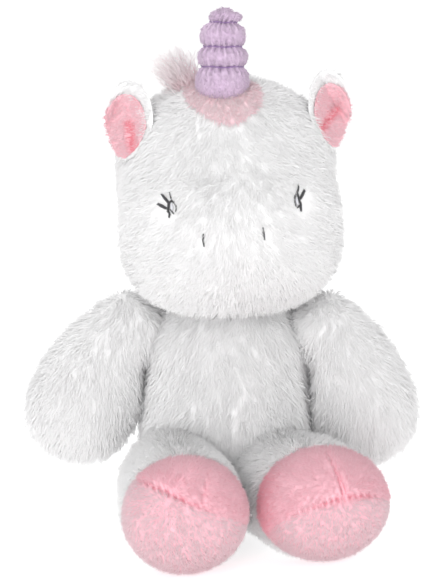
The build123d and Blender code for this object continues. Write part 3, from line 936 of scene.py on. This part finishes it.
HORN_PROFILE = [(-8.0, 12.2), (-2.0, 14.6), (4.0, 14.9), (8.2, 13.7), (10.6, 11.6), (12.8, 13.3), (15.9, 14.0),
                (18.9, 13.0), (21.2, 10.6), (23.6, 12.1), (27.5, 12.8), (31.6, 10.9), (33.9, 7.6), (35.4, 8.8),
                (37.4, 8.9), (39.2, 6.6), (40.3, 2.0)]
HORN_SEAMS = [10.6, 21.2, 33.9]
GATHER_RADII = [11.1, 10.0, 7.0]     # of the thread in each seam
HORN_BEND_FROM = 31.0                # above this height the horn bends over, more and more
HORN_BEND = 0.045


def horn_to_world(p):
    return head_to_world(p @ rot("y", HORN_LEAN).T + HORN_PIVOT)


def horn_local(p):
    return (world_to_head(p) - HORN_PIVOT) @ rot("y", HORN_LEAN)


def near_seam(z, width):
    """1 at a gathering seam, and less above and below it."""
    return np.max([bump(z - seam, width) for seam in HORN_SEAMS], axis=0)


def pleats(angle, z):
    return np.sin(angle * 19 + 1.3 * np.sin(angle * 3 + z * 0.2))


def horn_surface(inset):
    """Puffs with gathers: fine pleats run up and down from each tight seam. The small top bends over."""
    around, rings = 180, 96
    heights = np.linspace(HORN_PROFILE[0][0], HORN_PROFILE[-1][0], rings)
    angle = np.linspace(0, 2 * math.pi, around, endpoint=False)
    verts = []
    for z in heights:
        radius = smooth_profile(HORN_PROFILE, np.array([z]))[0] - inset
        pleat = pleats(angle, z) + 0.5 * np.sin(angle * 31 + z * 0.3)
        r = np.maximum(radius + pleat * 0.8 * near_seam(z, 3.6), 0.3)
        lean = max(z - HORN_BEND_FROM, 0.0)
        x = r * np.cos(angle) + HORN_BEND * lean ** 2
        y = r * np.sin(angle)
        tip = 0.13 * lean * np.cos(angle)
        verts.append(np.stack([x, y, np.full(around, z) - tip], 1))
    verts = np.concatenate(verts)
    bottom, top = len(verts), len(verts) + 1
    verts = np.concatenate([verts, [[0, 0, heights[0] - 4]], [verts[-around:].mean(0) + [0, 0, 0.4]]])
    faces = []
    for k in range(rings - 1):
        for a in range(around):
            b = (a + 1) % around
            faces.append((k * around + a, k * around + b, (k + 1) * around + b))
            faces.append((k * around + a, (k + 1) * around + b, (k + 1) * around + a))
    for a in range(around):
        b = (a + 1) % around
        faces.append((b, a, bottom))
        faces.append(((rings - 1) * around + a, (rings - 1) * around + b, top))
    return horn_to_world(verts), np.array(faces)


horn_skin_surface = horn_surface(1.3)
skin("horn_skin", horn_skin_surface, "horn", "horn_cloth", ("horn_cover",), 0.85)


def horn_core(p):
    return ellipsoid(horn_local(p), (0, 0, 17), (7.0, 7.0, 24.0))


skin("horn_fill", blob(horn_core, head_to_world(HORN_PIVOT + np.array([0, 0, 17])), 3, 0.0, 40.0),
     "horn", "fibre", ("horn_stuffing",))


def horn_flow(p, n):
    return np.broadcast_to(HORN_ROT @ np.array([0.0, 0.0, -1.0]), p.shape)


def horn_length(p):
    return 1.0 - 0.65 * near_seam(horn_local(p)[:, 2], 1.6)


def horn_pleat_shade(p):
    """Deeper colour in the pleats beside each gathering seam: painted shade, deepest in the hollows of the
    pleats.
    """
    q = horn_local(p)
    angle = np.arctan2(q[:, 1], q[:, 0])
    return near_seam(q[:, 2], 2.6) * (0.45 - 0.4 * pleats(angle, q[:, 2]))


grow("horn_pile", horn_skin_surface, "horn", "horn_pile", 2.3, 2.6, 0.42, 0.6,
     horn_flow, None, horn_length, curl=0.16, clump=0.3, joints=3, tone=horn_pleat_shade)


def gather_thread(number, z, radius):
    """Thread round a seam of the horn, drawn a little into the pleats."""
    steps = 72
    middle = HORN_BEND * max(z - HORN_BEND_FROM, 0.0) ** 2
    line = []
    for k in range(steps + 1):
        angle = 2 * math.pi * k / steps
        r = radius + 0.25 * math.sin(angle * 19)
        line.append((r * math.cos(angle) + middle, r * math.sin(angle), z + 0.2 * math.sin(angle * 5)))
    obj = tube_mesh("horn_gather_" + number, [np.array(line)], 0.9, horn_to_world)
    place(obj, "horn", "horn_thread", ("horn_thread_" + number,))


for index, (z, radius) in enumerate(zip(HORN_SEAMS, GATHER_RADII)):
    gather_thread(str(index + 1), z, radius)

# ------------------------------------------------------------------ ears


def ear_to_world(p, side):
    local = np.asarray(p, float) * np.array([side, 1.0, 1.0])
    local = local @ rot("y", -side * EAR_TILT).T
    return head_to_world(local + np.array(EAR_ROOT[side]))


FOLD = {-1: ((2.5, -14.0), (5.5, -2.0)), 1: ((1.5, -9.0), (12.5, -1.0))}


def fold_depth(x, z, side):
    """How near a point of the blade is to the deep fold of that ear, 1 on the fold."""
    (ax, az), (bx, bz) = FOLD[side]
    along = np.array([bx - ax, bz - az])
    t = np.clip(((x - ax) * along[0] + (z - az) * along[1]) / (along @ along), 0, 1)
    return bump(np.hypot(x - ax - t * along[0], z - az - t * along[1]), 3.4)


def ear_shell(side, front, scale_x, scale_z, shift, thick):
    """Cupped oval sheet with thickness, its inner edge carried forward round the corner of the head."""
    rings, around = 22, 64
    c, s = math.cos(EAR_TURN[side]), math.sin(EAR_TURN[side])
    verts = []
    angle = np.linspace(0, 2 * math.pi, around, endpoint=False)
    for layer in (0, 1):
        for k in range(rings + 1):
            t = k / rings
            x = shift[0] + scale_x * t * np.cos(angle)
            z = shift[1] + scale_z * t * np.sin(angle)
            cup = 5.0 * (1 - np.hypot((x - EAR_MIDDLE) / 13.0, z / 20.5) ** 2)
            y = -3.2 + cup + FOLD_DEEP[side] * fold_depth(x, z, side) + front
            x = EAR_MIDDLE + (x - EAR_MIDDLE) * (1 - 0.45 * np.clip(-z / 20.0, 0, 1) ** 1.5)
            y = y + (thick * (1 - 0.55 * t ** 4) if layer else 0.0)
            turned_x = EAR_MIDDLE + (x - EAR_MIDDLE) * c + z * s + EAR_SHIFT[side][0]
            turned_z = z * c - (x - EAR_MIDDLE) * s + EAR_SHIFT[side][1]
            y = y - EAR_FORWARD[side] * np.clip((13.0 - turned_x) / 17.0, 0, 1)
            verts.append(np.stack([turned_x, y, turned_z], 1))
    verts = np.concatenate(verts)
    per = (rings + 1) * around
    faces = []
    for k in range(rings):
        for a in range(around):
            b = (a + 1) % around
            i, j = k * around, (k + 1) * around
            faces += [(i + a, i + b, j + b), (i + a, j + b, j + a)]
            faces += [(per + i + a, per + j + b, per + i + b), (per + i + a, per + j + a, per + j + b)]
    edge = rings * around
    for a in range(around):
        b = (a + 1) % around
        faces += [(edge + a, edge + b, per + edge + b), (edge + a, per + edge + b, per + edge + a)]
    faces = np.array(faces)
    if side > 0:
        faces = faces[:, ::-1]
    return ear_to_world(verts, side), faces


LINING_MIDDLE = (8.8, -3.4)


def build_ear(side):
    word = SIDE[side]
    body = word + "_ear"

    def flow(p, n):
        out = ear_to_world(np.array([[1.0, 0, 0]]), side) - ear_to_world(np.array([[0.0, 0, 0]]), side)
        return np.broadcast_to(unit(out[0] * 0.6 + np.array([0, 0.5, -0.5])), p.shape)

    def not_lining(p, n):
        local = ear_local(p, side)
        oval = np.hypot((local[:, 0] - LINING_MIDDLE[0]) / 10.4, (local[:, 2] - LINING_MIDDLE[1]) / 16.0)
        return ((oval > 1.0) | (n[:, 1] > 0.1)).astype(float)

    # the fold of the lining takes the deeper pink: painted shade in the fold
    def fold_shade(p):
        local = ear_local(p, side)
        return fold_depth(local[:, 0], local[:, 2], side)

    def length(p):
        """The edge away from the head has hardly any white showing."""
        local = ear_local(p, side)
        return np.clip((21.0 - local[:, 0]) / 9.0 + 0.2 * (local[:, 2] > 8), 0.3, 1.0)

    back = ear_shell(side, 0.9, 12.6, 20.2, (7.4, 0.0), 3.4)
    skin("ear_back_skin_" + word, back, body, "white_cloth", ("ear_back_" + word,), 0.3)
    lining = ear_shell(side, -0.6, 10.8, 16.4, LINING_MIDDLE, 1.2)
    skin("ear_lining_skin_" + word, lining, body, "minky_cloth", ("ear_lining_" + word,))
    grow("ear_back_fur_" + word, back, body, "white_pile", 1.2, 5.0, 0.45, 0.35, flow, not_lining, length)
    grow("ear_lining_pile_" + word, lining, body, "minky_pile", 2.6, 3.2, 0.42, 0.45, flow,
         lambda p, n: (n[:, 1] < 0.15).astype(float), clump=0.3, joints=3, tone=fold_shade)


for side in (-1, 1):
    build_ear(side)

# ------------------------------------------------------------------ neck and torso


def collar_field(p):
    ball = np.linalg.norm(p - NECK, axis=-1) - 36.2
    return smooth_max(ball, 123.0 - p[:, 2], 1.0)


collar_surface = blob(collar_field, NECK + np.array([0, 0, 8.0]), 5, 0.6, 50.0)
skin("neck_skin", collar_surface, "neck", "white_cloth", ("neck_collar",), 0.6)


def below_head(p, n):
    return ((head_field_world(p) > 0.5) & (n[:, 2] > -0.5)).astype(float)


grow("neck_fur", collar_surface, "neck", "white_pile", 0.8, 5.5, 0.6, 0.3,
     brushed(), below_head)

torso_surface = stuffed(
    "body", "", torso_field, (0.0, 1.0, 62.0), 6, (LONG_INSET - 1.0, LONG_INSET + 4), "torso", "white_cloth",
    ("belly_panel_left", "belly_panel_right", "back_panel_left", "back_panel_right", "seat_panel"), 0.85)


def torso_shown(p, n):
    """No pile where the body is covered by the head, a leg or an arm, or rests on the floor."""
    open_air = (p[:, 2] > 3.0) & (head_field_world(p) > 0.5)
    for side in (-1, 1):
        open_air &= leg_field(p, side) > -3.0
        open_air &= arm_field(p, side) > -4.0
    return open_air.astype(float)


TORSO_ZONES = {
    "belly_fur_left": lambda p: (p[:, 1] < 0) & (p[:, 0] < 0),
    "belly_fur_right": lambda p: (p[:, 1] < 0) & (p[:, 0] >= 0),
    "back_fur_left": lambda p: (p[:, 1] >= 0) & (p[:, 0] < 0),
    "back_fur_right": lambda p: (p[:, 1] >= 0) & (p[:, 0] >= 0),
}
for name, test in TORSO_ZONES.items():
    grow(name, torso_surface, "torso", "white_pile", 0.85, 8.0, 0.56, 0.45,
         brushed(1.0, 0.15), lambda p, n, test=test: torso_shown(p, n) * test(p))

# ------------------------------------------------------------------ arms


def arm_shown(p):
    return ((torso_field(p) > -2.0) & (head_field_world(p) > -2.0)).astype(float)


def build_arm(side):
    word = SIDE[side]
    body = word + "_arm"
    surface = stuffed("arm", "_" + word, lambda p: arm_field(p, side), (side * 70.0, -5.0, 78.0), 5,
                      (LONG_INSET - 0.4, LONG_INSET + 3), body, "white_cloth",
                      ("arm_front_panel_" + word, "arm_back_panel_" + word), 0.8, 90.0)
    flow = brushed(1.0, 0.35, (side * 60.0, -4.0))
    grow("arm_fur_front_" + word, surface, body, "white_pile", 0.95, 8.0, 0.54, 0.45, flow,
         lambda p, n: arm_shown(p) * (n[:, 1] < 0))
    grow("arm_fur_back_" + word, surface, body, "white_pile", 0.7, 8.0, 0.58, 0.45, flow,
         lambda p, n: arm_shown(p) * (n[:, 1] >= 0))


for side in (-1, 1):
    build_arm(side)

# ------------------------------------------------------------------ legs and feet


def build_leg(side):
    """Leg and foot, which move as one body."""
    word = SIDE[side]
    body = word + "_leg"
    hip, foot = np.array(HIP[side]), np.array(FOOT[side])
    along = unit(foot - hip)
    reach = np.linalg.norm(foot - hip)

    def leg_shown(p, n):
        t = (p - hip) @ along
        open_air = (foot_field(p, side) > -1.5) & (torso_field(p) > -2.0)
        return (open_air & (t < reach - 8) & (p[:, 2] > 3.0)).astype(float)

    def leg_flow(p, n):
        return np.broadcast_to(unit(along * 0.4 + np.array([0, 0, -1.0])), p.shape)

    def foot_shown(p):
        t = (p - hip) @ along
        return ((t > reach - 12) & (p[:, 2] > 1.2)).astype(float)

    def foot_length(p):
        return 1.0 - 0.5 * seam_pull(p, side) * bump(foot_seams(p, side), 1.6)

    def foot_tone(p):
        """Deeper pink: painted shade in the creases of the seams, and also above the sole seam and on the inner
        side of the right foot.
        """
        above = np.clip(sole_angle(p, side) - SOLE_ANGLE[side], 0, 2) * SEAM_RADIUS
        broad = 0.38 * bump(above - 5.0, 9.0) * (above > 0)
        inner = np.clip((foot[0] - 14.0 - p[:, 0]) / 16.0, 0, 1) * (0.75 if side > 0 else 0.0)
        seam = 1.1 * seam_pull(p, side) * bump(foot_seams(p, side), 2.4)
        return np.clip(np.maximum(np.maximum(broad, inner), seam), 0, 0.95)

    def foot_flow(p, n):
        wave = columns(p, np.sin(p[:, 2] * 0.23 + p[:, 0] * 0.1), 0.0, np.cos(p[:, 0] * 0.19))
        spread = unit(unit(p - foot) - unit(np.array(SEAM_CROSSING[side])))
        return unit(np.array([0.0, 0.1, -0.7]) + 0.8 * spread + 0.25 * wave)

    def on_sole(p):
        return sole_angle(p, side) < SOLE_ANGLE[side]

    surface = stuffed("leg", "_" + word, lambda p: leg_field(p, side), (hip + foot) / 2, 5,
                      (LONG_INSET - 1.0, LONG_INSET + 3), body, "white_cloth", ("leg_cover_" + word,),
                      0.85, 80.0)
    grow("leg_fur_" + word, surface, body, "white_pile", 1.1, 6.5, 0.52, 0.75, leg_flow, leg_shown)
    surface = stuffed("foot", "_" + word, lambda p: foot_field(p, side), foot, 6, (SHORT_INSET, 6.0), body,
                      "pink_cloth", ("foot_sole_" + word, "foot_upper_a_" + word, "foot_upper_b_" + word),
                      0.9, 60.0)
    grow("foot_sole_pile_" + word, surface, body, "sole_pile", 2.2, 3.2, 0.44, 0.5, foot_flow,
         lambda p, n: foot_shown(p) * on_sole(p), foot_length, curl=0.14, clump=0.2, joints=3, tone=foot_tone)
    grow("foot_upper_pile_" + word, surface, body, "pink_pile", 2.2, 3.4, 0.44, 0.5, foot_flow,
         lambda p, n: foot_shown(p) * ~on_sole(p), foot_length, curl=0.14, clump=0.2, joints=3, tone=foot_tone)


for side in (-1, 1):
    build_leg(side)

# ------------------------------------------------------------------ tail

TAIL_ROOT = np.array([0.0, 47.5, 52.0])


def tail_field(p):
    q = (p - np.array([0.0, 61.0, 38.0])) @ rot("x", math.radians(18))
    drop = ellipsoid(q, (0, 0, 0), (7.0, 6.0, 20.0))
    root = np.linalg.norm(p - (TAIL_ROOT + np.array([0, 2.0, 0])), axis=-1) - 5.5
    return smooth_min(drop, root, 5.0)


tail_surface = blob(tail_field, (0.0, 59.0, 42.0), 5, 1.0, 50.0)
skin("tail_skin", tail_surface, "tail", "mane_cloth", ("tail_hair",), 0.5)


def tail_flow(p, n):
    return unit(np.array([0.0, 0.12, -1.0]) + columns(p, p[:, 0] * 0.03, 0.0, 0.0))


grow("tail_hair_pile", tail_surface, "tail", "mane_pile", 1.5, 15.0, 0.6, 0.22,
     tail_flow, lambda p, n: ((p[:, 2] > 20) & (torso_field(p) > 0)).astype(float),
     curl=0.1, clump=0.5, joints=5)

# ------------------------------------------------------------------ carried CAD nodes

CARRIED = {
    "pellet_bag": cloth_material("pellet_bag_cloth", (0.75, 0.73, 0.68), (0.62, 0.6, 0.55), 300, 0.6),
    "pellets": cloth_material("pellet_plastic", (0.8, 0.8, 0.78), (0.6, 0.6, 0.58), 500, 0.8, 0.5),
}
for node, material in CARRIED.items():
    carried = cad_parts[node]
    carried.data.materials.clear()
    carried.data.materials.append(material)

# ------------------------------------------------------------------ floor, light and camera


def build_floor():
    mesh = bpy.data.meshes.new("studio_floor")
    half = 40.0
    mesh.from_pydata([(-half, -half, 0), (half, -half, 0), (half, half, 0), (-half, half, 0)], [],
                     [(0, 1, 2, 3)])
    floor = bpy.data.objects.new("studio_floor", mesh)
    bpy.context.scene.collection.objects.link(floor)
    material, _, _, shader = new_material("pale_floor", 0.9, 0.0, 0.1)
    shader.inputs["Base Color"].default_value = (0.93, 0.93, 0.93, 1)
    shader.inputs["Emission Color"].default_value = (1.0, 1.0, 1.0, 1)
    shader.inputs["Emission Strength"].default_value = 0.55      # a lit sweep: it stays white to its edges
    mesh.materials.append(material)


def area_light(name, location, target, size, power):
    light = bpy.data.lights.new(name, "AREA")
    light.shape = "DISK"
    light.size = size
    light.energy = power
    obj = bpy.data.objects.new(name, light)
    obj.location = location
    aim = Vector(target) - Vector(location)
    obj.rotation_euler = aim.to_track_quat("-Z", "Y").to_euler()
    bpy.context.scene.collection.objects.link(obj)


build_floor()
area_light("front_light", (-0.35, -1.9, 0.55), (0, -0.03, 0.10), 1.6, 18.5)
area_light("side_light", (1.5, -1.0, 0.8), (0, -0.03, 0.12), 1.2, 3)
area_light("top_light", (-0.3, 0.2, 1.8), (0, 0, 0.1), 1.5, 7)

world = bpy.data.worlds.new("soft_studio")
world.use_nodes = True
world.node_tree.nodes["Background"].inputs["Color"].default_value = (1.0, 1.0, 1.0, 1)
world.node_tree.nodes["Background"].inputs["Strength"].default_value = 0.62
bpy.context.scene.world = world
bpy.context.scene.view_settings.view_transform = "Standard"

# Straight ahead of the toy and a little above it
CAMERA_ELEVATION = math.radians(10.0)
CAMERA_DISTANCE = 1.0
AIM = Vector((-0.003, -0.030, 0.134))
camera_data = bpy.data.cameras.new("camera")
camera_data.sensor_fit = "VERTICAL"
camera_data.sensor_height = 36.0      # millimetres, as is the lens
camera_data.lens = 115.2
camera_data.clip_end = 20.0
camera = bpy.data.objects.new("camera", camera_data)
forward = Vector((0.0, math.cos(CAMERA_ELEVATION), -math.sin(CAMERA_ELEVATION)))
camera.location = AIM - forward * CAMERA_DISTANCE
camera.rotation_euler = forward.to_track_quat("-Z", "Y").to_euler()
bpy.context.scene.collection.objects.link(camera)
bpy.context.scene.camera = camera
